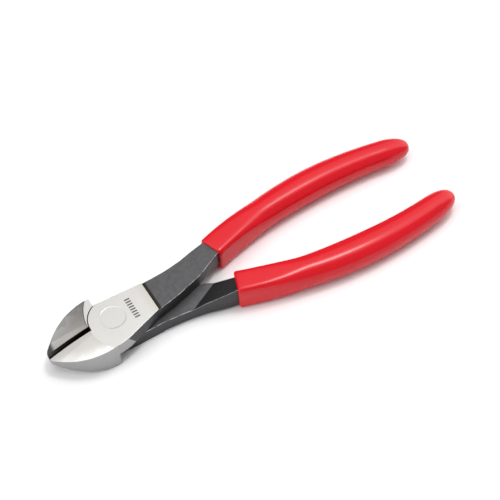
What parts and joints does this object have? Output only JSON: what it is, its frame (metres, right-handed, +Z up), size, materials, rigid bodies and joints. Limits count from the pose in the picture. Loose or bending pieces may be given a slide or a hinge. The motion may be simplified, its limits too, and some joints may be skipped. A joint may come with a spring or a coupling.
{
  "type": "diagonal cutting pliers",
  "caption": "Lap-jointed diagonal cutting pliers with closed jaws, a flush rivet, and bowed handles in dipped vinyl grips.",
  "frame": {"origin": "on the pivot axis, on the flat underside of the joint, which is the height the tool lies at", "axes": "+Z up along the rivet's axis, +X along the tool from the pivot to the handles, nose towards -X, +Y towards the upper lever's handle"},
  "size_m": [0.181, 0.055, 0.0124],
  "materials": {
    "forged_steel": "black oxide handles, ground bright head",
    "rivet_steel": "ground flush with the joint",
    "dipped_vinyl": "glossy dipped vinyl"
  },
  "bodies": {
    "lower_half": {"lower_lever": "forged_steel", "lower_lever_grip": "dipped_vinyl", "pivot_rivet": "rivet_steel"},
    "upper_half": {"upper_lever": "forged_steel", "upper_lever_grip": "dipped_vinyl"}
  },
  "joints": [
    {"name": "jaw_pivot", "type": "hinge", "parent": "lower_half", "child": "upper_half", "pos_m": [0, 0, 0.0062], "axis": [0, 0, 1], "range_deg": [0, 50]}
  ]
}
